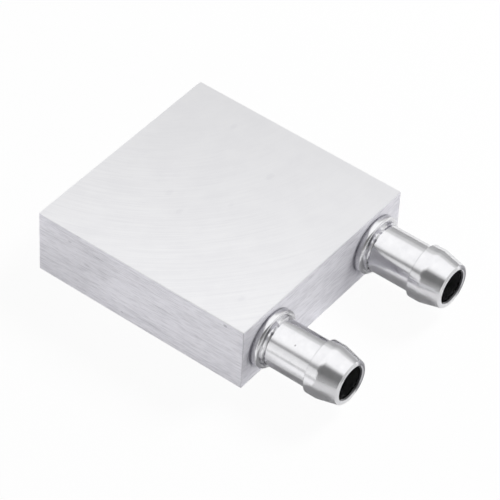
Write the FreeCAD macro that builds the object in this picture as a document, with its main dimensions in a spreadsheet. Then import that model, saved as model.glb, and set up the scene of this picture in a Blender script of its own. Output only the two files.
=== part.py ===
import FreeCAD, Part
import Sketcher

import os

# Liquid cooling cold plate. A square aluminium block is milled from below with a channel that runs to and fro
# in four passes. A cover let into the underside closes it, and two turned hose barbs are brazed into ports in
# one side. Millimetres, +Z up. The origin is the centre of the block's underside, and the barbs point along -Y.

SIZES = [
    # Block
    ("block_length", 40.0, "block along X, across the two ports"),
    ("block_width", 40.0, "block along Y, along the channel's passes"),
    ("block_height", 12.0, "block from cooling face to cooling face"),
    ("edge_break", 0.1, "chamfer on the block's outer edges"),
    # Channel
    ("side_wall", 3.0, "wall beside the first and last pass"),
    ("port_wall", 4.8, "wall that holds the ports"),
    ("back_wall", 3.0, "wall behind the passes"),
    ("channel_roof", 2.0, "metal over the channel, under the upper cooling face"),
    ("rib_thickness", 1.2, "rib between two passes"),
    ("turn_gap", 7.2, "opening past a rib's free end, where the flow turns"),
    ("channel_corner_radius", 1.5, "radius that the cutter leaves in the channel's corners"),
    ("rib_tip_radius", 0.5, "rounding of a rib's free end"),
    # Cover
    ("cover_thickness", 2.0, "cover, and the depth of its seat"),
    ("cover_ledge", 1.2, "width of the ledge round the channel that carries the cover"),
    ("cover_corner_radius", 3.0, "corner radius of the cover's seat"),
    ("cover_braze_gap", 0.1, "gap round the cover, filled with braze metal"),
    # Ports
    ("port_depth", 3.1, "depth of a port's counterbore"),
    ("port_drill_margin", 0.25, "how much wider a port's drill is than a barb's bore"),
    ("port_braze_gap", 0.1, "gap round a spigot in its counterbore, filled with braze metal"),
    ("spigot_end_clearance", 0.1, "room behind a seated spigot"),
    # Hose barb
    ("bore_diameter", 5.5, "barb's bore"),
    ("spigot_wall", 1.05, "wall of the spigot that sits in the port"),
    ("spigot_chamfer", 0.3, "lead-in on the spigot's end"),
    ("flange_lip", 1.0, "flange beyond the neck"),
    ("flange_thickness", 1.35, "flange along the axis"),
    ("flange_rim_radius", 0.45, "rounding of the flange's front rim"),
    ("flange_seat_chamfer", 0.15, "chamfer on the flange's rim at the block"),
    ("root_ring_rise", 0.32, "root ring beyond the neck"),
    ("root_ring_length", 0.6, "root ring along the axis"),
    ("root_ring_chamfer", 0.15, "chamfer on the root ring"),
    ("neck_wall", 1.25, "wall of the neck"),
    ("neck_length", 7.65, "neck between the root ring and the barb"),
    ("barb_rise", 0.56, "barb beyond the neck"),
    ("barb_edge_chamfer", 0.1, "chamfer on the barb's sharp shoulder"),
    ("land_length", 1.95, "straight stretch behind the cone"),
    ("land_blend_radius", 2.2, "soft rounding between the land and the cone"),
    ("cone_length", 3.75, "cone that the hose slides over"),
    ("tip_wall", 0.95, "wall at the tip"),
    ("tip_chamfer", 0.25, "chamfer on the tip's outer edge"),
    ("mouth_chamfer", 0.35, "chamfer at the bore's mouth"),
]

SIDES = {"inlet": -1, "outlet": 1}

# Places worked out from the sheet, as expressions.
HALF_LENGTH = "sizes.block_length / 2"
HALF_WIDTH = "sizes.block_width / 2"
CHANNEL_SIDE = f"({HALF_LENGTH} - sizes.side_wall)"
CHANNEL_FRONT = f"(-{HALF_WIDTH} + sizes.port_wall)"
CHANNEL_BACK = f"({HALF_WIDTH} - sizes.back_wall)"
CHANNEL_TOP = "(sizes.block_height - sizes.channel_roof)"
PASS_WIDTH = f"((2 * {CHANNEL_SIDE} - 3 * sizes.rib_thickness) / 4)"
SEAT_SIDE = f"({CHANNEL_SIDE} + sizes.cover_ledge)"
SEAT_FRONT = f"({CHANNEL_FRONT} - sizes.cover_ledge)"
SEAT_BACK = f"({CHANNEL_BACK} + sizes.cover_ledge)"
FRONT_RIB_END = f"({CHANNEL_BACK} - sizes.turn_gap)"
BACK_RIB_END = f"({CHANNEL_FRONT} + sizes.turn_gap)"
HALF_RIB = "sizes.rib_thickness / 2"
RIB_INNER = f"({HALF_RIB} + {PASS_WIDTH})"
RIB_OUTER = f"({RIB_INNER} + sizes.rib_thickness)"
PORT_ACROSS = f"({CHANNEL_SIDE} - {PASS_WIDTH} / 2)"
PORT_HEIGHT = "sizes.block_height / 2"

BORE_RADIUS = "sizes.bore_diameter / 2"
SPIGOT_RADIUS = f"({BORE_RADIUS} + sizes.spigot_wall)"
SPIGOT_LENGTH = "(sizes.port_depth - sizes.spigot_end_clearance)"
PORT_RADIUS = f"({SPIGOT_RADIUS} + sizes.port_braze_gap)"
NECK_RADIUS = f"({BORE_RADIUS} + sizes.neck_wall)"
FLANGE_RADIUS = f"({NECK_RADIUS} + sizes.flange_lip)"
ROOT_RADIUS = f"({NECK_RADIUS} + sizes.root_ring_rise)"
BARB_RADIUS = f"({NECK_RADIUS} + sizes.barb_rise)"
TIP_RADIUS = f"({BORE_RADIUS} + sizes.tip_wall)"
FLANGE_FRONT = "(-sizes.flange_thickness)"
ROOT_FRONT = f"({FLANGE_FRONT} - sizes.root_ring_length)"
NECK_FRONT = f"({ROOT_FRONT} - sizes.neck_length)"
LAND_FRONT = f"({NECK_FRONT} - sizes.land_length)"
TIP_FRONT = f"({LAND_FRONT} - sizes.cone_length)"

RIB_HEIGHT = f"({CHANNEL_TOP} - sizes.cover_thickness)"

ON_AXIS = "0"
TOUCH = 1e-6


def make_sheet(doc):
    sheet = doc.addObject("Spreadsheet::Sheet", "sizes")
    for row, (alias, value, meaning) in enumerate(SIZES, start=1):
        sheet.set(f"A{row}", meaning)
        sheet.set(f"B{row}", str(value))
        sheet.setAlias(f"B{row}", alias)
    doc.recompute()
    return sheet


def number(obj, expression):
    """The value of an expression, read by an object of the document."""
    return float(obj.evalExpression(expression))


def origin_item(body, role):
    return next(item for item in body.Origin.OriginFeatures if item.Role == role)


def new_body(doc, label):
    body = doc.addObject("PartDesign::Body", label)
    body.Label = label
    return body


def new_sketch(body, name, plane, height=None):
    """An empty sketch on one of the body's origin planes, raised along the plane's normal."""
    sketch = body.newObject("Sketcher::SketchObject", name)
    sketch.AttachmentSupport = [(origin_item(body, plane), "")]
    sketch.MapMode = "FlatFace"
    if height:
        sketch.setExpression("AttachmentOffset.Base.z", height)
    return sketch


def dimension(sketch, kind, geometry, point, name, place):
    """A named dimension from the sketch's origin to a point, bound to an expression."""
    value = number(sketch, place)
    index = sketch.addConstraint(Sketcher.Constraint(kind, -1, 1, geometry, point, value))
    sketch.renameConstraint(index, name)
    sketch.setExpression(f"Constraints.{name}", place)


def place_point(sketch, geometry, point, name, across, up):
    """Holds a point of the sketch: a place of ON_AXIS keeps it on that axis."""
    if across == ON_AXIS:
        sketch.addConstraint(Sketcher.Constraint("PointOnObject", geometry, point, -2))
    elif across:
        dimension(sketch, "DistanceX", geometry, point, f"{name}_across", across)
    if up == ON_AXIS:
        sketch.addConstraint(Sketcher.Constraint("PointOnObject", geometry, point, -1))
    elif up:
        dimension(sketch, "DistanceY", geometry, point, f"{name}_up", up)


def draw_outline(sketch, corners):
    """A closed outline of straight lines through named corners, each (name, across, up).

    A corner that shares a place with the one before it is held by a vertical or horizontal line.
    """
    places = [FreeCAD.Vector(number(sketch, across), number(sketch, up), 0) for _, across, up in corners]
    lines = [Part.LineSegment(start, end) for start, end in zip(places, places[1:] + places[:1])]
    first = sketch.addGeometry(lines, False)[0]
    for i, (name, across, up) in enumerate(corners):
        here = first + i
        before = first + (i - 1) % len(corners)
        _, across_before, up_before = corners[i - 1]
        sketch.addConstraint(Sketcher.Constraint("Coincident", before, 2, here, 1))
        if across == across_before:
            sketch.addConstraint(Sketcher.Constraint("Vertical", before))
            across = None
        if up == up_before:
            sketch.addConstraint(Sketcher.Constraint("Horizontal", before))
            up = None
        place_point(sketch, here, 1, name, across, up)


def draw_rectangle(sketch, name, left, right, front, back):
    corners = [
        (f"{name}_front_left", left, front),
        (f"{name}_front_right", right, front),
        (f"{name}_back_right", right, back),
        (f"{name}_back_left", left, back),
    ]
    draw_outline(sketch, corners)


def draw_circle(sketch, name, across, up, radius):
    centre = FreeCAD.Vector(number(sketch, across), number(sketch, up), 0)
    circle = Part.Circle(centre, FreeCAD.Vector(0, 0, 1), number(sketch, radius))
    index = sketch.addGeometry(circle, False)
    place_point(sketch, index, 3, name, across, up)
    size = sketch.addConstraint(Sketcher.Constraint("Radius", index, number(sketch, radius)))
    sketch.renameConstraint(size, f"{name}_radius")
    sketch.setExpression(f"Constraints.{name}_radius", radius)


def add_pad(body, name, sketch, length):
    pad = body.newObject("PartDesign::Pad", name)
    pad.Profile = sketch
    pad.setExpression("Length", length)
    return pad


def add_pocket(body, name, sketch, depth):
    """A pocket that cuts along the sketch plane's normal, and has to take metal away."""
    body.Document.recompute()
    before = body.Shape.Volume
    pocket = body.newObject("PartDesign::Pocket", name)
    pocket.Profile = sketch
    pocket.Reversed = True
    pocket.setExpression("Length", depth)
    body.Document.recompute()
    if body.Shape.Volume >= before:
        raise RuntimeError(f"{name} cuts nothing from {body.Label}")
    return pocket


def edges_where(feature, test):
    feature.Document.recompute()
    names = [f"Edge{i}" for i, edge in enumerate(feature.Shape.Edges, start=1) if test(edge)]
    if not names:
        raise RuntimeError(f"no edge of {feature.Name} fits")
    return names


def is_upright_at(edge, corners):
    """Whether an edge runs straight up over one of the corners, each an (x, y) pair."""
    start, end = edge.firstVertex().Point, edge.lastVertex().Point
    if abs(start.z - end.z) < TOUCH:
        return False
    return any(
        max(abs(point.x - x) + abs(point.y - y) for point in (start, end)) < TOUCH for x, y in corners
    )


def round_uprights(body, name, base, corners, radius):
    """A fillet along the upright edges over the corners, each a pair of expressions."""
    places = [(number(base, x), number(base, y)) for x, y in corners]
    return dress_edges(body, name, base, lambda edge: is_upright_at(edge, places), radius)


def dress_edges(body, name, base, test, size, kind="Fillet"):
    names = edges_where(base, test)
    dress = body.newObject(f"PartDesign::{kind}", name)
    dress.Base = (base, names)
    dress.setExpression("Radius" if kind == "Fillet" else "Size", size)
    body.Document.recompute()
    return dress


def rectangle_corners(left, right, front, back):
    return [(x, y) for x in (left, right) for y in (front, back)]


def mill_seat(body):
    """The cover's seat in the underside."""
    sketch = new_sketch(body, "seat_outline", "XY_Plane")
    limits = (f"-{SEAT_SIDE}", SEAT_SIDE, SEAT_FRONT, SEAT_BACK)
    draw_rectangle(sketch, "seat", *limits)
    seat = add_pocket(body, "cover_seat", sketch, "sizes.cover_thickness")
    corners = rectangle_corners(*limits)
    return round_uprights(body, "seat_corners", seat, corners, "sizes.cover_corner_radius")


def mill_channel(body):
    """The channel: one deep hollow, with three ribs left standing that send the coolant to and fro."""
    sketch = new_sketch(body, "channel_outline", "XY_Plane")
    limits = (f"-{CHANNEL_SIDE}", CHANNEL_SIDE, CHANNEL_FRONT, CHANNEL_BACK)
    draw_rectangle(sketch, "channel", *limits)
    add_pocket(body, "channel_hollow", sketch, CHANNEL_TOP)

    front_root = f"({CHANNEL_FRONT} - sizes.cover_ledge / 2)"
    sketch = new_sketch(body, "front_rib_outline", "XY_Plane", "sizes.cover_thickness")
    draw_rectangle(sketch, "rib", RIB_INNER, RIB_OUTER, front_root, FRONT_RIB_END)
    front_rib = add_pad(body, "front_rib", sketch, RIB_HEIGHT)
    body.Document.recompute()
    both = body.newObject("PartDesign::Mirrored", "front_ribs")
    both.Originals = [front_rib]
    both.MirrorPlane = (origin_item(body, "YZ_Plane"), [""])
    body.Tip = both

    back_root = f"({CHANNEL_BACK} + sizes.cover_ledge / 2)"
    sketch = new_sketch(body, "back_rib_outline", "XY_Plane", "sizes.cover_thickness")
    draw_rectangle(sketch, "rib", f"-{HALF_RIB}", HALF_RIB, BACK_RIB_END, back_root)
    ribs = add_pad(body, "back_rib", sketch, RIB_HEIGHT)

    front_sides = (f"-{RIB_OUTER}", f"-{RIB_INNER}", RIB_INNER, RIB_OUTER)
    back_sides = (f"-{HALF_RIB}", HALF_RIB)
    tips = [(x, FRONT_RIB_END) for x in front_sides]
    tips += [(x, BACK_RIB_END) for x in back_sides]
    rounded = round_uprights(body, "rib_tips", ribs, tips, "sizes.rib_tip_radius")
    roots = rectangle_corners(*limits)
    roots += [(x, CHANNEL_FRONT) for x in front_sides]
    roots += [(x, CHANNEL_BACK) for x in back_sides]
    return round_uprights(body, "channel_corners", rounded, roots, "sizes.channel_corner_radius")


def bore_ports(body):
    """Two stepped ports in the front side, each in line with an outer pass."""
    sketch = new_sketch(body, "port_centres", "XZ_Plane", HALF_WIDTH)
    for name, side in SIDES.items():
        draw_circle(sketch, name, f"{side} * {PORT_ACROSS}", PORT_HEIGHT, PORT_RADIUS)
    body.Document.recompute()
    before = body.Shape.Volume
    ports = body.newObject("PartDesign::Hole", "ports")
    ports.Profile = sketch
    ports.ThreadType = "None"
    ports.DepthType = "Dimension"
    ports.DrillPoint = "Flat"
    ports.HoleCutType = "Counterbore"
    ports.HoleCutCustomValues = True
    ports.setExpression("Diameter", "sizes.bore_diameter + 2 * sizes.port_drill_margin")
    ports.setExpression("Depth", "sizes.port_wall + sizes.channel_corner_radius")
    ports.setExpression("HoleCutDiameter", f"2 * {PORT_RADIUS}")
    ports.setExpression("HoleCutDepth", "sizes.port_depth")
    body.Document.recompute()
    if body.Shape.Volume >= before:
        raise RuntimeError("the ports cut nothing")
    return ports


def is_block_edge(edge, half_length, half_width, height):
    """Whether an edge is one of the block's twelve: on two of its outer faces at both ends."""
    for point in (edge.firstVertex().Point, edge.lastVertex().Point):
        outside = [
            abs(abs(point.x) - half_length) < TOUCH,
            abs(abs(point.y) - half_width) < TOUCH,
            min(abs(point.z), abs(point.z - height)) < TOUCH,
        ]
        if sum(outside) < 3:
            return False
    return True


def make_block(doc):
    body = new_body(doc, "block_body")
    sketch = new_sketch(body, "block_outline", "XY_Plane")
    draw_rectangle(sketch, "block", f"-{HALF_LENGTH}", HALF_LENGTH, f"-{HALF_WIDTH}", HALF_WIDTH)
    add_pad(body, "block", sketch, "sizes.block_height")
    mill_seat(body)
    mill_channel(body)
    ports = bore_ports(body)
    limits = [number(ports, place) for place in (HALF_LENGTH, HALF_WIDTH, "sizes.block_height")]
    dress_edges(
        body, "edge_breaks", ports, lambda edge: is_block_edge(edge, *limits), "sizes.edge_break", "Chamfer"
    )
    return body


def make_plate(doc, label, inset):
    """A plate with the outline and depth of the cover's seat, smaller all round by the inset."""
    body = new_body(doc, label)
    side = f"({SEAT_SIDE} - {inset})"
    limits = (f"-{side}", side, f"({SEAT_FRONT} + {inset})", f"({SEAT_BACK} - {inset})")
    sketch = new_sketch(body, f"{label}_outline", "XY_Plane")
    draw_rectangle(sketch, "plate", *limits)
    plate = add_pad(body, f"{label}_plate", sketch, "sizes.cover_thickness")
    corners = rectangle_corners(*limits)
    round_uprights(body, f"{label}_corners", plate, corners, f"sizes.cover_corner_radius - {inset}")
    return body


def make_cover_seam(doc, cover):
    """The braze metal that fills the gap round the cover: the seat's room, less the cover."""
    seam = doc.addObject("Part::Cut", "cover_braze_seam")
    seam.Label = "cover_braze_seam"
    seam.Base = make_plate(doc, "seat_room", "0")
    seam.Tool = cover
    return seam


def place_at_port(piece, side):
    """Puts a piece's own Y axis on a port's axis, with its origin on the block's front side."""
    piece.setExpression("Placement.Base.x", f"{side} * {PORT_ACROSS}")
    piece.setExpression("Placement.Base.y", f"-{HALF_WIDTH}")
    piece.setExpression("Placement.Base.z", PORT_HEIGHT)


def is_ring_at(edge, radius, along):
    """Whether an edge is a full circle of that radius round the Y axis, at that place along it."""
    curve = edge.Curve
    if not isinstance(curve, Part.Circle):
        return False
    return abs(curve.Radius - radius) < TOUCH and abs(curve.Center.y - along) < TOUCH


def dress_ring(body, name, base, ring, size, kind):
    """A fillet or chamfer on one circular edge, given by its radius and its place along the axis."""
    radius, along = (number(base, place) for place in ring)
    return dress_edges(body, name, base, lambda edge: is_ring_at(edge, radius, along), size, kind)


def make_barb(doc, name, side):
    """A turned hose barb: spigot, flange, root ring, neck, barb with its land and cone, and bore."""
    body = new_body(doc, f"{name}_barb")
    sketch = new_sketch(body, f"{name}_barb_profile", "XY_Plane")
    draw_outline(
        sketch,
        [
            ("bore_end", BORE_RADIUS, SPIGOT_LENGTH),
            ("spigot_end", SPIGOT_RADIUS, SPIGOT_LENGTH),
            ("spigot_root", SPIGOT_RADIUS, ON_AXIS),
            ("flange_seat", FLANGE_RADIUS, ON_AXIS),
            ("flange_front", FLANGE_RADIUS, FLANGE_FRONT),
            ("root_back", ROOT_RADIUS, FLANGE_FRONT),
            ("root_front", ROOT_RADIUS, ROOT_FRONT),
            ("neck_back", NECK_RADIUS, ROOT_FRONT),
            ("neck_front", NECK_RADIUS, NECK_FRONT),
            ("barb_edge", BARB_RADIUS, NECK_FRONT),
            ("land_front", BARB_RADIUS, LAND_FRONT),
            ("tip_edge", TIP_RADIUS, TIP_FRONT),
            ("bore_mouth", BORE_RADIUS, TIP_FRONT),
        ],
    )
    turned = body.newObject("PartDesign::Revolution", f"{name}_barb_turned")
    turned.Profile = sketch
    turned.ReferenceAxis = (sketch, ["V_Axis"])
    turned.Angle = 360
    feature = turned
    for kind, label, ring, size in (
        ("Fillet", "flange_rim", (FLANGE_RADIUS, FLANGE_FRONT), "sizes.flange_rim_radius"),
        ("Fillet", "land_blend", (BARB_RADIUS, LAND_FRONT), "sizes.land_blend_radius"),
        ("Chamfer", "flange_seat_rim", (FLANGE_RADIUS, ON_AXIS), "sizes.flange_seat_chamfer"),
        ("Chamfer", "root_ring_rim", (ROOT_RADIUS, ROOT_FRONT), "sizes.root_ring_chamfer"),
        ("Chamfer", "barb_shoulder", (BARB_RADIUS, NECK_FRONT), "sizes.barb_edge_chamfer"),
        ("Chamfer", "tip_rim", (TIP_RADIUS, TIP_FRONT), "sizes.tip_chamfer"),
        ("Chamfer", "bore_mouth", (BORE_RADIUS, TIP_FRONT), "sizes.mouth_chamfer"),
        ("Chamfer", "spigot_lead", (SPIGOT_RADIUS, SPIGOT_LENGTH), "sizes.spigot_chamfer"),
    ):
        feature = dress_ring(body, f"{name}_{label}", feature, ring, size, kind)
    place_at_port(body, side)
    return body


def make_braze_ring(doc, name, side):
    """The braze metal between a spigot and its port."""
    outer = doc.addObject("Part::Cylinder", f"{name}_braze_fill")
    outer.setExpression("Radius", PORT_RADIUS)
    inner = doc.addObject("Part::Cylinder", f"{name}_braze_hollow")
    inner.setExpression("Radius", SPIGOT_RADIUS)
    for cylinder in (outer, inner):
        cylinder.setExpression("Height", f"{SPIGOT_LENGTH} - sizes.spigot_chamfer")
        cylinder.Placement.Rotation = FreeCAD.Rotation(FreeCAD.Vector(1, 0, 0), -90)
    ring = doc.addObject("Part::Cut", f"{name}_braze_ring")
    ring.Label = f"{name}_braze_ring"
    ring.Base = outer
    ring.Tool = inner
    place_at_port(ring, side)
    return ring


def check_document(doc, pieces):
    for obj in doc.Objects:
        if "Invalid" in obj.State or "Error" in obj.State:
            raise RuntimeError(f"{obj.Name} failed: {obj.State}")
    for piece in pieces:
        if piece.Shape.isNull() or not piece.Shape.isValid():
            raise RuntimeError(f"{piece.Label} has no valid shape")
        if len(piece.Shape.Solids) != 1:
            raise RuntimeError(f"{piece.Label} is {len(piece.Shape.Solids)} solids, not one")


def main():
    doc = FreeCAD.newDocument("cold_plate")
    make_sheet(doc)
    block = make_block(doc)
    cover = make_plate(doc, "channel_cover", "sizes.cover_braze_gap")
    pieces = [block, cover, make_cover_seam(doc, cover)]
    for name, side in SIDES.items():
        pieces.append(make_barb(doc, name, side))
        pieces.append(make_braze_ring(doc, name, side))
    doc.recompute()
    check_document(doc, pieces)
    os.makedirs("parts", exist_ok=True)
    for piece in pieces:
        piece.Shape.exportStep(f"parts/{piece.Label}.step")
        print(f"{piece.Label}: {piece.Shape.Volume:.1f} cubic millimetres")


main()
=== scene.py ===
import math

import bmesh
import bpy
from mathutils import Matrix, Vector


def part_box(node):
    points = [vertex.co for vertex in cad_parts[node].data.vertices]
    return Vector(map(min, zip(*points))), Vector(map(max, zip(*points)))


bl_info = {
    "name": "Liquid Cooling Cold Plate",
    "version": (1, 0, 0),
    "blender": (4, 5, 0),
    "location": "3D View > Sidebar > Cold Plate",
    "description": "Finishes, stage, lamps and camera for a small brazed aluminium cold plate",
    "category": "Object",
}

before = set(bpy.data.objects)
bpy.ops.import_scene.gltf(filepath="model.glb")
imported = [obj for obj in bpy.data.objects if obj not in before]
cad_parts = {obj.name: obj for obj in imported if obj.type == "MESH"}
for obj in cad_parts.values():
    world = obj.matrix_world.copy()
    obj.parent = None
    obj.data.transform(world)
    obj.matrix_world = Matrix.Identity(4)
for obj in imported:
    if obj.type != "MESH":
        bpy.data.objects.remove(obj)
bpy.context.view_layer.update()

MM = 0.001
BLOCK_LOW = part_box("block_body")[0]
BARB_LOW, BARB_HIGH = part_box("outlet_barb")

# The outlet barb's axis, in millimetres. The inlet's lies as far on the other side of the middle.
PORT_ACROSS = (BARB_LOW.x + BARB_HIGH.x) / 2 / MM
PORT_HEIGHT = (BARB_LOW.z + BARB_HIGH.z) / 2 / MM

# Scuffs on the -X side, in millimetres: Y, Z, half length, half height; then their depth.
SIDE_MARKS = (
    (-16.5, 11.3, 0.45, 0.28, 1.3),
    (13.8, 9.7, 0.5, 0.25, 0.5),
    (12.0, 11.8, 0.8, 0.12, 0.6),
    (8.3, 9.7, 1.6, 0.25, 0.3),
    (10.3, 6.8, 0.6, 0.25, 0.3),
    (5.5, 6.2, 0.5, 0.2, 0.3),
    (3.3, 1.2, 0.35, 0.2, 0.5),
    (-4.7, 6.9, 4.0, 0.16, 0.35),
    (-3.8, 5.1, 1.5, 0.16, 0.35),
    (-13.5, 5.5, 5.8, 0.15, 0.3),
    (-0.8, 2.4, 5.2, 0.6, 0.2),
)

# Smudges on the cooling faces, in millimetres: X, Y, half length; then their depth.
FACE_MARKS = (
    (9.5, -2.25, 1.1, 0.12),
    (-3.5, 7.5, 1.0, 0.1),
    (-5.75, 3.75, 0.9, 0.1),
    (0.5, -1.5, 0.8, 0.08),
    (15.0, 9.25, 1.0, 0.1),
    (-14.5, -15.25, 0.9, 0.1),
)

# The dark pit on the inlet barb's neck, in millimetres: X, Y, radius.
BARB_PIT = (-15.08, -26.0, 0.17)

# Each span below is a pair: a mask rises from 0 at its first value to 1 at its second.

# Places along a barb, in millimetres out from the block.
# Painted shade darkens a ring round each barb over the seat span.
SEAT_SHADE_SPAN = (0.5, 0.2)
GROOVE_OUT = 1.75
TIP_SPAN = (14.6, 14.9)

# Distances from the middle of a barb's root groove, in millimetres.
GROOVE_SPAN = (0.5, 0.2)

# Places on a barb's end face, in millimetres: out from its axis, and from its axis towards +X.
# Painted shade darkens the mouth and the end face's +X side over these spans.
MOUTH_SPAN = (3.0, 2.9)
SHADED_END_SPAN = (1.0, 2.2)

# How much of a surface's normal lies along an axis, from 0 to 1. A side is what doesn't face up
# or down.
FACE_SPAN = (0.8, 0.95)
SIDE_SPAN = (0.8, 0.5)
END_FACE_SPAN = (0.6, 0.9)

# Levels of noise.
CONTRAST = (0.3, 0.7)
SMUDGE_CONTRAST = (0.35, 0.65)
# Levels of the blotches of painted shade in the root groove.
GROOVE_SHADE_CONTRAST = (0.5, 0.62)

# The cutter's arcs fade towards +X, over these millimetres and down to this share.
FADING_SPAN = (18.0, -14.0)
FADED_SHARE = 0.2

# The brushed hairlines drop this many millimetres for each millimetre along a side.
BRUSH_SLOPE = 0.02

# How deep a bump reaches, in metres.
FINE_GRAIN = 0.00001
COARSE_GRAIN = 0.00003

BRAZE_DARK = (0.42, 0.42, 0.43, 1.0)
BRAZE_PALE = (0.62, 0.62, 0.63, 1.0)
WHITE = (1.0, 1.0, 1.0, 1.0)

# The room that the metal mirrors: how fast its back wall brightens upward, how bright its front
# wall is at eye level, how fast that falls off upward and to what, and where that wall begins.
BACK_WALL_RISE = 0.2
FRONT_WALL_LEVEL = 0.5
FRONT_WALL_FALL = 0.6
FRONT_WALL_LEAST = 0.2
FRONT_WALL_SPAN = (0.22, 0.52)

# The camera's sensor in millimetres, and how near and far it sees in metres.
SENSOR_WIDTH = 36.0
CLIP_RANGE = (0.01, 50.0)

# Softboxes that only the metal mirrors, in metres, square to the camera: X to its right and Y away
# from it. Each has a name, a place, a turn about Y in degrees, a width, a depth and the property
# that holds its level.
SOFTBOXES = (
    ("overhead_softbox", (-0.015, 0.022, 0.18), 0.0, 0.40, 0.26, "overhead_level"),
    ("ceiling_softbox", (0.0, 0.11, 0.20), 0.0, 0.60, 0.40, "ceiling_level"),
    ("left_softbox", (-0.13, -0.04, 0.05), -90.0, 0.10, 0.28, "left_level"),
    ("right_softbox", (0.15, 0.0, 0.06), 90.0, 0.12, 0.28, "right_level"),
)

# The softbox that lights the floor, in metres: its distance and its side.
FLOOR_LAMP_DISTANCE = 0.6
FLOOR_LAMP_SIZE = 0.2

# The card on the floor beside the -X side, in millimetres: X, Y, width, depth.
SIDE_CARD = (-34.0, -8.0, 26.0, 38.0)

# Cards on the floor before the -Y side, in millimetres: X, Y, width, depth; then the share of the
# front level that each has. Only the block mirrors them.
FRONT_CARDS = (
    (-16.5, -22.5, 9.0, 4.6, 1.15),
    (5.5, -23.2, 13.0, 6.0, 0.72),
)


# --------------------------------------------------------------------------------- node expressions


class Value:
    """A shader socket that arithmetic works on: each operator adds its Math node."""

    def __init__(self, graph, socket):
        self.graph = graph
        self.socket = socket

    def math(self, operation, *others):
        return self.graph.math(operation, self, *others)

    def __add__(self, other):
        return self.math("ADD", other)

    def __sub__(self, other):
        return self.math("SUBTRACT", other)

    def __mul__(self, other):
        return self.math("MULTIPLY", other)

    def __truediv__(self, other):
        return self.math("DIVIDE", other)

    def __pow__(self, other):
        return self.math("POWER", other)

    def __gt__(self, other):
        return self.math("GREATER_THAN", other)

    def __lt__(self, other):
        return self.math("LESS_THAN", other)

    def __abs__(self):
        return self.math("ABSOLUTE")

    def __radd__(self, other):
        return self + other

    def __rsub__(self, other):
        return self.graph.math("SUBTRACT", other, self)


class Graph:
    """The node tree of a material or of the world, built by expressions."""

    def __init__(self, tree):
        self.tree = tree
        tree.nodes.clear()

    def node(self, kind, settings=None, inputs=None):
        """Adds a node: its settings, then its sockets' values or links, by name or number."""
        node = self.tree.nodes.new(kind)
        for name, value in (settings or {}).items():
            setattr(node, name, value)
        for name, value in (inputs or {}).items():
            self.feed(node.inputs[name], value)
        return node

    def feed(self, socket, value):
        if isinstance(value, Value):
            self.tree.links.new(value.socket, socket)
        elif isinstance(value, bpy.types.NodeSocket):
            self.tree.links.new(value, socket)
        else:
            socket.default_value = value

    def output(self, node, name=0):
        return Value(self, node.outputs[name])

    def math(self, operation, *terms):
        inputs = dict(enumerate(terms))
        return self.output(self.node("ShaderNodeMath", {"operation": operation}, inputs))

    def clamp(self, value):
        return self.output(self.node("ShaderNodeClamp", None, {"Value": value}))

    def step(self, value, low, high):
        """A smooth rise from 0 at low to 1 at high; it falls where low is above high."""
        settings = {"interpolation_type": "SMOOTHSTEP", "clamp": True}
        inputs = {"Value": value, "From Min": low, "From Max": high}
        return self.output(self.node("ShaderNodeMapRange", settings, inputs))

    def vector(self, x, y, z):
        return self.output(self.node("ShaderNodeCombineXYZ", None, {"X": x, "Y": y, "Z": z}))

    def split(self, vector):
        node = self.node("ShaderNodeSeparateXYZ", None, {"Vector": vector})
        return [self.output(node, axis) for axis in "XYZ"]

    def mix(self, factor, first, second):
        """A mix of two colours."""
        node = self.node("ShaderNodeMix", {"data_type": "RGBA"}, {"Factor": factor})
        self.feed(node.inputs[6], first)
        self.feed(node.inputs[7], second)
        return self.output(node, 2)

    def blend(self, factor, first, second):
        """A mix of two shaders."""
        return self.node("ShaderNodeMixShader", None, {0: factor, 1: first, 2: second}).outputs[0]

    def noise(self, place, scale=1.0, detail=3.0, roughness=0.6):
        """Levels round 0.5 that change over about one unit of the place, divided by the scale."""
        inputs = {"Vector": place, "Scale": scale, "Detail": detail, "Roughness": roughness}
        return self.output(self.node("ShaderNodeTexNoise", None, inputs), "Fac")

    def bump(self, relief, strength, distance):
        inputs = {"Height": relief, "Strength": strength, "Distance": distance}
        return self.output(self.node("ShaderNodeBump", None, inputs))


class Surface(Graph):
    """A metal's material. Places are in millimetres of the part's own frame."""

    def __init__(self, name):
        self.material = bpy.data.materials.new(name)
        self.material.use_nodes = True
        super().__init__(self.material.node_tree)
        coordinates = self.node("ShaderNodeTexCoord")
        scaled = self.node(
            "ShaderNodeVectorMath",
            {"operation": "SCALE"},
            {0: coordinates.outputs["Object"], "Scale": 1.0 / MM},
        )
        self.place = self.output(scaled)
        self.x, self.y, self.z = self.split(self.place)
        self.facing = [abs(axis) for axis in self.split(coordinates.outputs["Normal"])]

    def spot(self, across, up, half_width, half_height):
        """1 at the middle of a soft oval, 0 outside it, by the distances from its middle."""
        across = across / half_width
        up = up / half_height
        return self.step(across * across + up * up, 1.0, 0.1)

    def metal(self, color, roughness, normal, **constants):
        """A metal's shader, with constants for any of its other sockets."""
        inputs = {"Base Color": color, "Roughness": roughness, "Metallic": 1.0, "Normal": normal}
        inputs.update(constants)
        return self.node("ShaderNodeBsdfPrincipled", None, inputs).outputs[0]

    def finish(self, shader):
        self.node("ShaderNodeOutputMaterial", None, {"Surface": shader})
        return self.material


# ----------------------------------------------------------------------------------------- finishes


def opaque(color):
    return (*color, 1.0)


def swing(pattern, reach):
    """A pattern round 0.5, moved to lie round 0 and scaled."""
    return (pattern - 0.5) * reach


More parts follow.
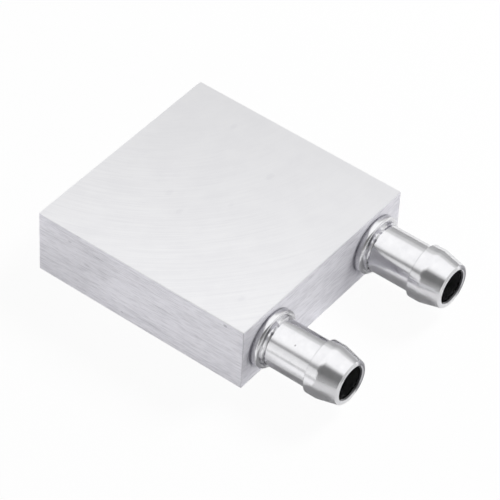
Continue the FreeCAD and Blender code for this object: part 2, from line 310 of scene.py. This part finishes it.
def cutter_arcs(metal, centre):
    """Fine and coarse arcs round the cutter's centre, from 0 to 1."""
    across = metal.x - centre[0]
    along = metal.y - centre[1]
    radius = (across * across + along * along) ** 0.5
    sweep = metal.math("ARCTAN2", along, across)
    coarse_place = metal.vector(radius * 2.0, sweep * 2.5, metal.z)
    fine_place = metal.vector(radius * 6.0, sweep * 6.0, metal.z)
    coarse_arcs = metal.noise(coarse_place, detail=2.0)
    fine_arcs = metal.noise(fine_place, detail=2.0)
    return metal.step(coarse_arcs * 0.5 + fine_arcs * 0.5, *CONTRAST)


def brushing(metal, face_x, face_y):
    """Hairlines that run lengthwise on the sides, from 0 to 1, and broad patches round 0.5."""
    lengthwise = metal.y * face_x + metal.x * face_y
    lie = metal.z + lengthwise * BRUSH_SLOPE

    def place(length_scale, height_scale, shift):
        return metal.vector(lengthwise * length_scale, face_x * shift, lie * height_scale)

    streaks = metal.noise(place(0.16, 2.2, 3.0), roughness=0.65)
    fine_streaks = metal.noise(place(0.5, 6.0, 5.0), roughness=0.65)
    patches = metal.noise(place(0.12, 0.35, 9.0), detail=2.0, roughness=0.5)
    return metal.step(streaks * 0.4 + fine_streaks * 0.6, *CONTRAST), patches


def handling_marks(metal, face_x, face_z):
    """The depth of the scuffs on the -X side and of the smudges on both cooling faces."""
    marks = 0.0
    for y, z, half_length, half_height, depth in SIDE_MARKS:
        marks = metal.spot(metal.y - y, metal.z - z, half_length, half_height) * depth + marks
    marks = marks * face_x * (metal.x < 0.0)
    for x, y, half_length, depth in FACE_MARKS:
        smudge = metal.spot(metal.x - x, metal.y - y, half_length, half_length * 0.6)
        marks = smudge * face_z * depth + marks
    return marks


def make_machined_aluminium(sizes):
    """Cooling faces with a large cutter's faint arcs, and sides brushed lengthwise."""
    metal = Surface("machined_aluminium")
    face_x, face_y, face_z = (metal.step(facing, *FACE_SPAN) for facing in metal.facing)
    side = metal.step(metal.facing[2], *SIDE_SPAN)
    arcs = cutter_arcs(metal, sizes.cutter_centre)
    smudges = metal.step(metal.noise(metal.place, 0.22), *SMUDGE_CONTRAST)
    hairlines, patches = brushing(metal, face_x, face_y)
    marks = handling_marks(metal, face_x, face_z)

    fading = metal.step(metal.x, *FADING_SPAN) * (1.0 - FADED_SHARE) + FADED_SHARE
    brushed_shade = swing(hairlines, 1.0) + swing(patches, 0.7)
    milled_shade = swing(arcs, 0.2) * fading + swing(smudges, 0.06)
    shade = metal.clamp(0.8 + brushed_shade * side + milled_shade * face_z - marks)
    clean = metal.mix(side, opaque(sizes.bright_metal), opaque(sizes.brushed_metal))
    color = metal.mix(shade, opaque(sizes.shaded_metal), clean)
    grain = arcs * face_z * 0.3 + hairlines * side - marks * 2.0
    normal = metal.bump(grain, 0.2, FINE_GRAIN)
    roughness = swing(patches, 0.06)
    milled = metal.metal(color, sizes.face_roughness + roughness, normal)
    spread = {"Anisotropic": sizes.brushed_spread, "Anisotropic Rotation": 0.25}
    brushed = metal.metal(color, sizes.brushed_roughness + roughness, normal, **spread)
    return metal.finish(metal.blend(side, milled, brushed))


def make_turned_aluminium(sizes):
    """Bright turned metal: fine rings round its axis; painted shade at its root, mouth and end."""
    metal = Surface("turned_aluminium")
    out = BLOCK_LOW.y / MM - metal.y
    across = metal.x - metal.math("SIGN", metal.x) * PORT_ACROSS
    up = metal.z - PORT_HEIGHT
    radius = (across * across + up * up) ** 0.5
    rings = metal.noise(metal.vector(0.0, metal.y * 9.0, 0.0))
    cloud = metal.noise(metal.place, 0.6)
    # Blotches of painted shade for the root groove.
    groove_shade_blotches = metal.step(metal.noise(metal.place, 0.55), *GROOVE_SHADE_CONTRAST)

    # Painted shade: a dark ring where the barb seats on the block.
    seat_shade = metal.step(out, *SEAT_SHADE_SPAN)
    groove = metal.step(abs(out - GROOVE_OUT), *GROOVE_SPAN)
    tip = metal.step(out, *TIP_SPAN)
    # Painted shade: the mouth is darkened nearly to black.
    mouth = tip * metal.step(radius, *MOUTH_SPAN)
    end_face = metal.step(metal.facing[1], *END_FACE_SPAN)
    # Painted shade on the +X side of the end face, which is also rougher there.
    rough_shaded_end = tip * end_face * metal.step(across, *SHADED_END_SPAN)
    pit_x, pit_y, pit_radius = BARB_PIT
    pit = metal.spot(metal.x - pit_x, metal.y - pit_y, pit_radius, pit_radius) * (up > 0.0)

    shade = 0.68 + swing(cloud, 0.3) + swing(rings, 0.2)
    # Painted shade darkens the seat, the root groove in blotches and the end face's +X side.
    shade = metal.clamp(shade - groove * groove_shade_blotches * 0.9 - seat_shade * 1.2 - rough_shaded_end)
    color = metal.mix(shade, opaque(sizes.dark_tone_and_shade_metal), opaque(sizes.bright_metal))
    # Near-black painted shade in the mouth and on the end face's +X side; the pit is a real mark.
    shade_and_pit = mouth * 0.9 + rough_shaded_end * 0.4 + pit * 0.5
    color = metal.mix(shade_and_pit, color, opaque(sizes.darkest_metal))
    roughness = sizes.turned_roughness + swing(cloud, 0.08) + rough_shaded_end * 0.2
    return metal.finish(metal.metal(color, roughness, metal.bump(rings, 0.15, FINE_GRAIN)))


def make_braze_metal():
    """Braze metal as it set: duller, with a grainy skin."""
    metal = Surface("braze_metal")
    grains = metal.noise(metal.place, 4.0)
    color = metal.mix(grains, BRAZE_DARK, BRAZE_PALE)
    roughness = 0.5 + swing(grains, 0.2)
    return metal.finish(metal.metal(color, roughness, metal.bump(grains, 0.3, COARSE_GRAIN)))


def apply_finish(node, material):
    """Gives a CAD node's object one material in all its slots."""
    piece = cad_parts[node]
    for slot in piece.material_slots:
        slot.material = material
    if not piece.material_slots:
        piece.data.materials.append(material)


# -------------------------------------------------------------------------------------------- stage


def look_at(aim, azimuth, elevation, distance, roll=0.0):
    """The stand of a camera or lamp that faces a point; at azimuth 0 it faces along +Y."""
    flat = math.cos(elevation)
    back = Vector((math.sin(azimuth) * flat, -math.cos(azimuth) * flat, math.sin(elevation)))
    right = Vector((0, 0, 1)).cross(back).normalized()
    up = back.cross(right)
    turned_right = right * math.cos(roll) + up * math.sin(roll)
    turned_up = up * math.cos(roll) - right * math.sin(roll)
    turn = Matrix((turned_right, turned_up, back)).transposed()
    return Matrix.Translation(Vector(aim) + back * distance) @ turn.to_4x4()


def place_camera(sizes):
    camera = bpy.data.objects.new("camera", bpy.data.cameras.new("camera"))
    bpy.context.scene.collection.objects.link(camera)
    camera.matrix_world = look_at(
        sizes.camera_aim,
        sizes.camera_azimuth,
        sizes.camera_elevation,
        sizes.camera_distance,
        sizes.camera_roll,
    )
    camera.data.sensor_width = SENSOR_WIDTH
    camera.data.lens = sizes.camera_lens
    camera.data.clip_start, camera.data.clip_end = CLIP_RANGE
    bpy.context.scene.camera = camera


def make_floor(sizes):
    mesh = bpy.data.meshes.new("floor")
    shape = bmesh.new()
    bmesh.ops.create_grid(shape, x_segments=1, y_segments=1, size=sizes.floor_size / 2)
    bmesh.ops.translate(shape, vec=(0, 0, BLOCK_LOW.z - sizes.floor_gap), verts=shape.verts)
    shape.to_mesh(mesh)
    shape.free()
    floor = bpy.data.objects.new("floor", mesh)
    bpy.context.scene.collection.objects.link(floor)
    material = bpy.data.materials.new("floor")
    material.use_nodes = True
    graph = Graph(material.node_tree)
    path = graph.node("ShaderNodeLightPath")
    seen = graph.output(path, "Is Camera Ray") * sizes.backdrop_share
    seen = seen + graph.output(path, "Is Glossy Ray") * sizes.mirrored_share
    matte = graph.node("ShaderNodeBsdfDiffuse", None, {"Color": opaque(sizes.floor_color)})
    white = graph.node("ShaderNodeEmission", None, {"Color": WHITE, "Strength": 1.0})
    surface = graph.blend(seen, matte.outputs[0], white.outputs[0])
    graph.node("ShaderNodeOutputMaterial", None, {"Surface": surface})
    mesh.materials.append(material)


def make_world(sizes):
    """White to the camera, soft light on the floor, and a pale room in the metal."""
    world = bpy.data.worlds.new("studio")
    bpy.context.scene.world = world
    world.use_nodes = True
    graph = Graph(world.node_tree)
    path = graph.node("ShaderNodeLightPath")
    seen = graph.output(path, "Is Camera Ray")
    mirrored = graph.output(path, "Is Glossy Ray")
    x, y, z = graph.split(graph.node("ShaderNodeTexCoord").outputs["Generated"])
    toward = x * math.sin(sizes.camera_azimuth) - y * math.cos(sizes.camera_azimuth)
    back_wall = graph.clamp(sizes.world_level + z * BACK_WALL_RISE)
    front_wall = graph.math("MAXIMUM", FRONT_WALL_LEVEL - z * FRONT_WALL_FALL, FRONT_WALL_LEAST)
    front = graph.step(toward, *FRONT_WALL_SPAN)
    room = back_wall * (1.0 - front) + front_wall * front
    level = seen + mirrored * room + (1.0 - seen - mirrored) * sizes.ambient_level
    background = graph.node("ShaderNodeBackground", None, {"Color": WHITE, "Strength": level})
    graph.node("ShaderNodeOutputWorld", None, {"Surface": background.outputs[0]})


def add_softbox(name, stand, width, depth, radiance):
    """A rectangular lamp that a mirror would show at that brightness."""
    lamp = bpy.data.lights.new(name, "AREA")
    lamp.shape = "RECTANGLE"
    lamp.size = width
    lamp.size_y = depth
    lamp.energy = radiance * math.pi * width * depth
    softbox = bpy.data.objects.new(name, lamp)
    bpy.context.scene.collection.objects.link(softbox)
    softbox.matrix_world = stand
    softbox.visible_camera = False
    return softbox


def add_floor_card(name, x, y, width, depth, radiance):
    """A card that lies on the floor, in millimetres, and shines up. Only the metal mirrors it."""
    stand = Matrix.Translation((x * MM, y * MM, BLOCK_LOW.z)) @ Matrix.Rotation(math.pi, 4, "X")
    card = add_softbox(name, stand, width * MM, depth * MM, radiance)
    card.visible_diffuse = False
    return card


def light_studio(sizes):
    """Softboxes and cards that only the metal mirrors, and one softbox that lights the floor."""
    studio = Matrix.Rotation(sizes.camera_azimuth, 4, "Z")
    for name, place, turn, width, depth, level in SOFTBOXES:
        turned = Matrix.Rotation(math.radians(turn), 4, "Y")
        stand = studio @ Matrix.Translation(place) @ turned
        softbox = add_softbox(name, stand, width, depth, getattr(sizes, level))
        softbox.visible_diffuse = False
    add_floor_card("floor_card", *SIDE_CARD, sizes.card_level)
    block_only = bpy.data.collections.new("lit_by_front_cards")
    block_only.objects.link(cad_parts["block_body"])
    for x, y, width, depth, share in FRONT_CARDS:
        card = add_floor_card("front_card", x, y, width, depth, sizes.front_level * share)
        card.light_linking.receiver_collection = block_only
    stand = look_at(
        (0, 0, 0), sizes.floor_lamp_azimuth, sizes.floor_lamp_elevation, FLOOR_LAMP_DISTANCE
    )
    side = FLOOR_LAMP_SIZE
    add_softbox("floor_softbox", stand, side, side, sizes.floor_level).visible_glossy = False


# ------------------------------------------------------------------------------------------- add-on


class ColdPlateFinish(bpy.types.PropertyGroup):
    bright_metal: bpy.props.FloatVectorProperty(
        name="Bright metal",
        description="Colour of the cut aluminium",
        default=(0.95, 0.95, 0.96),
        size=3,
        min=0.0,
        max=1.0,
        subtype="COLOR",
    )
    brushed_metal: bpy.props.FloatVectorProperty(
        name="Brushed metal",
        description="Colour of the brushed aluminium",
        default=(0.955, 0.948, 0.99),
        size=3,
        min=0.0,
        max=1.0,
        subtype="COLOR",
    )
    shaded_metal: bpy.props.FloatVectorProperty(
        name="Shaded metal",
        description="Colour of the aluminium in its marks",
        default=(0.66, 0.655, 0.70),
        size=3,
        min=0.0,
        max=1.0,
        subtype="COLOR",
    )
    face_roughness: bpy.props.FloatProperty(
        name="Face roughness",
        description="Roughness of the milled cooling faces",
        default=0.36,
        min=0.05,
        max=1.0,
        subtype="FACTOR",
    )
    brushed_roughness: bpy.props.FloatProperty(
        name="Brushed roughness",
        description="Roughness of the brushed sides",
        default=0.62,
        min=0.05,
        max=1.0,
        subtype="FACTOR",
    )
    brushed_spread: bpy.props.FloatProperty(
        name="Brushed spread",
        description="How far the brushed sides spread a reflection up and down only",
        default=0.95,
        min=0.0,
        max=1.0,
        subtype="FACTOR",
    )
    # The dark end of the turned metal's random tone, which also takes its painted shade.
    dark_tone_and_shade_metal: bpy.props.FloatVectorProperty(
        name="Dark tone and shade metal",
        description="Colour of the turned aluminium where it is dullest",
        default=(0.42, 0.415, 0.45),
        size=3,
        min=0.0,
        max=1.0,
        subtype="COLOR",
    )
    # A near-black that paints shade in the mouths and on the ends' +X side, and colours the pit.
    darkest_metal: bpy.props.FloatVectorProperty(
        name="Darkest metal",
        description="Colour of the dark film in the bores' mouths",
        default=(0.04, 0.04, 0.045),
        size=3,
        min=0.0,
        max=1.0,
        subtype="COLOR",
    )
    turned_roughness: bpy.props.FloatProperty(
        name="Turned roughness",
        description="Roughness of the turned barbs",
        default=0.17,
        min=0.02,
        max=1.0,
        subtype="FACTOR",
    )
    cutter_centre: bpy.props.FloatVectorProperty(
        name="Cutter centre",
        description="Plan place, in millimetres, that the cooling faces' arcs run round",
        default=(22.8, 30.7),
        size=2,
    )


class ColdPlateStage(bpy.types.PropertyGroup):
    camera_azimuth: bpy.props.FloatProperty(
        name="Azimuth",
        description="Where the camera stands round the part; 0 looks along +Y",
        default=math.radians(-54.482),
        subtype="ANGLE",
    )
    camera_elevation: bpy.props.FloatProperty(
        name="Elevation",
        description="How high the camera stands",
        default=math.radians(44.602),
        subtype="ANGLE",
    )
    camera_roll: bpy.props.FloatProperty(
        name="Roll",
        description="Turn of the camera about its view",
        default=math.radians(3.232),
        subtype="ANGLE",
    )
    camera_distance: bpy.props.FloatProperty(
        name="Distance",
        description="From the camera to the point that it looks at",
        default=0.485884,
        unit="LENGTH",
    )
    camera_aim: bpy.props.FloatVectorProperty(
        name="Aim",
        description="The point that the camera looks at",
        default=(0.00363150, -0.00338421, 0.00100356),
        size=3,
        unit="LENGTH",
    )
    camera_lens: bpy.props.FloatProperty(
        name="Lens",
        description="Focal length in millimetres on a 36 mm sensor",
        default=221.882,
        min=1.0,
    )
    floor_size: bpy.props.FloatProperty(
        name="Floor size",
        description="Length of the square floor's side",
        default=4.0,
        unit="LENGTH",
    )
    floor_gap: bpy.props.FloatProperty(
        name="Floor gap",
        description="How far the floor lies under the part",
        default=0.00005,
        unit="LENGTH",
    )
    floor_color: bpy.props.FloatVectorProperty(
        name="Floor colour",
        description="Colour of the floor",
        default=(0.9, 0.9, 0.9),
        size=3,
        min=0.0,
        max=1.0,
        subtype="COLOR",
    )
    backdrop_share: bpy.props.FloatProperty(
        name="Backdrop share",
        description="How far the floor shows as plain white to the camera",
        default=0.95,
        min=0.0,
        max=1.0,
        subtype="FACTOR",
    )
    mirrored_share: bpy.props.FloatProperty(
        name="Mirrored share",
        description="How far the floor shows as plain white in the metal",
        default=0.02,
        min=0.0,
        max=1.0,
        subtype="FACTOR",
    )
    world_level: bpy.props.FloatProperty(
        name="Room level",
        description="Brightness of the room behind the part",
        default=0.45,
        min=0.0,
        max=1.0,
    )
    overhead_level: bpy.props.FloatProperty(
        name="Overhead level",
        description="Brightness of the softbox over the part",
        default=0.36,
        min=0.0,
        max=2.0,
    )
    ceiling_level: bpy.props.FloatProperty(
        name="Ceiling level",
        description="Brightness of the wide softbox above",
        default=0.2,
        min=0.0,
        max=2.0,
    )
    ambient_level: bpy.props.FloatProperty(
        name="Ambient level",
        description="Brightness of the light from all round on the floor",
        default=0.3,
        min=0.0,
    )
    floor_level: bpy.props.FloatProperty(
        name="Floor level",
        description="Brightness of the softbox that lights the floor",
        default=26.5,
        min=0.0,
    )
    floor_lamp_azimuth: bpy.props.FloatProperty(
        name="Floor lamp azimuth",
        description="Where that softbox hangs round the part; 0 faces along +Y",
        default=math.radians(70.0),
        subtype="ANGLE",
    )
    floor_lamp_elevation: bpy.props.FloatProperty(
        name="Floor lamp elevation",
        description="How high that softbox hangs",
        default=math.radians(42.0),
        subtype="ANGLE",
    )
    left_level: bpy.props.FloatProperty(
        name="Left level",
        description="Brightness of the softbox left of the camera",
        default=0.62,
        min=0.0,
        max=2.0,
    )
    right_level: bpy.props.FloatProperty(
        name="Right level",
        description="Brightness of the softbox right of the camera",
        default=0.33,
        min=0.0,
        max=2.0,
    )
    card_level: bpy.props.FloatProperty(
        name="Card level",
        description="Brightness of the white card beside the block",
        default=0.355,
        min=0.0,
        max=2.0,
    )
    front_level: bpy.props.FloatProperty(
        name="Front level",
        description="Brightness of the cards before the block, which only the block mirrors",
        default=1.0,
        min=0.0,
        max=2.0,
    )


class COLDPLATE_OT_block(bpy.types.Operator):
    """Finish the block, its cover and the braze metal"""

    bl_idname = "coldplate.finish_block"
    bl_label = "Finish Block"

    def execute(self, context):
        sizes = context.scene.cold_plate_finish
        machined = make_machined_aluminium(sizes)
        braze = make_braze_metal()
        for node in ("block_body", "channel_cover"):
            apply_finish(node, machined)
        for node in ("cover_braze_seam", "inlet_braze_ring", "outlet_braze_ring"):
            apply_finish(node, braze)
        return {"FINISHED"}


class COLDPLATE_OT_barbs(bpy.types.Operator):
    """Finish the two hose barbs"""

    bl_idname = "coldplate.finish_barbs"
    bl_label = "Finish Barbs"

    def execute(self, context):
        turned = make_turned_aluminium(context.scene.cold_plate_finish)
        for node in ("inlet_barb", "outlet_barb"):
            apply_finish(node, turned)
        return {"FINISHED"}


class COLDPLATE_OT_stage(bpy.types.Operator):
    """Set the floor, the lamps, the room and the camera"""

    bl_idname = "coldplate.set_stage"
    bl_label = "Set Stage"

    def execute(self, context):
        sizes = context.scene.cold_plate_stage
        place_camera(sizes)
        make_floor(sizes)
        make_world(sizes)
        light_studio(sizes)
        return {"FINISHED"}


class COLDPLATE_PT_panel(bpy.types.Panel):
    bl_label = "Cold Plate"
    bl_idname = "COLDPLATE_PT_panel"
    bl_space_type = "VIEW_3D"
    bl_region_type = "UI"
    bl_category = "Cold Plate"

    def draw(self, context):
        layout = self.layout
        scene = context.scene
        for group in (scene.cold_plate_finish, scene.cold_plate_stage):
            for name in group.__annotations__:
                layout.prop(group, name)
        for operator in OPERATORS:
            layout.operator(operator.bl_idname)


GROUPS = {"cold_plate_finish": ColdPlateFinish, "cold_plate_stage": ColdPlateStage}
OPERATORS = (COLDPLATE_OT_block, COLDPLATE_OT_barbs, COLDPLATE_OT_stage)


def register():
    for kind in (*GROUPS.values(), *OPERATORS, COLDPLATE_PT_panel):
        bpy.utils.register_class(kind)
    for name, group in GROUPS.items():
        setattr(bpy.types.Scene, name, bpy.props.PointerProperty(type=group))


def unregister():
    for name in GROUPS:
        delattr(bpy.types.Scene, name)
    for kind in reversed((*GROUPS.values(), *OPERATORS, COLDPLATE_PT_panel)):
        bpy.utils.unregister_class(kind)


def main():
    bpy.context.scene.view_settings.view_transform = "Standard"
    register()
    bpy.ops.coldplate.finish_block()
    bpy.ops.coldplate.finish_barbs()
    bpy.ops.coldplate.set_stage()


if __name__ == "__main__":
    main()
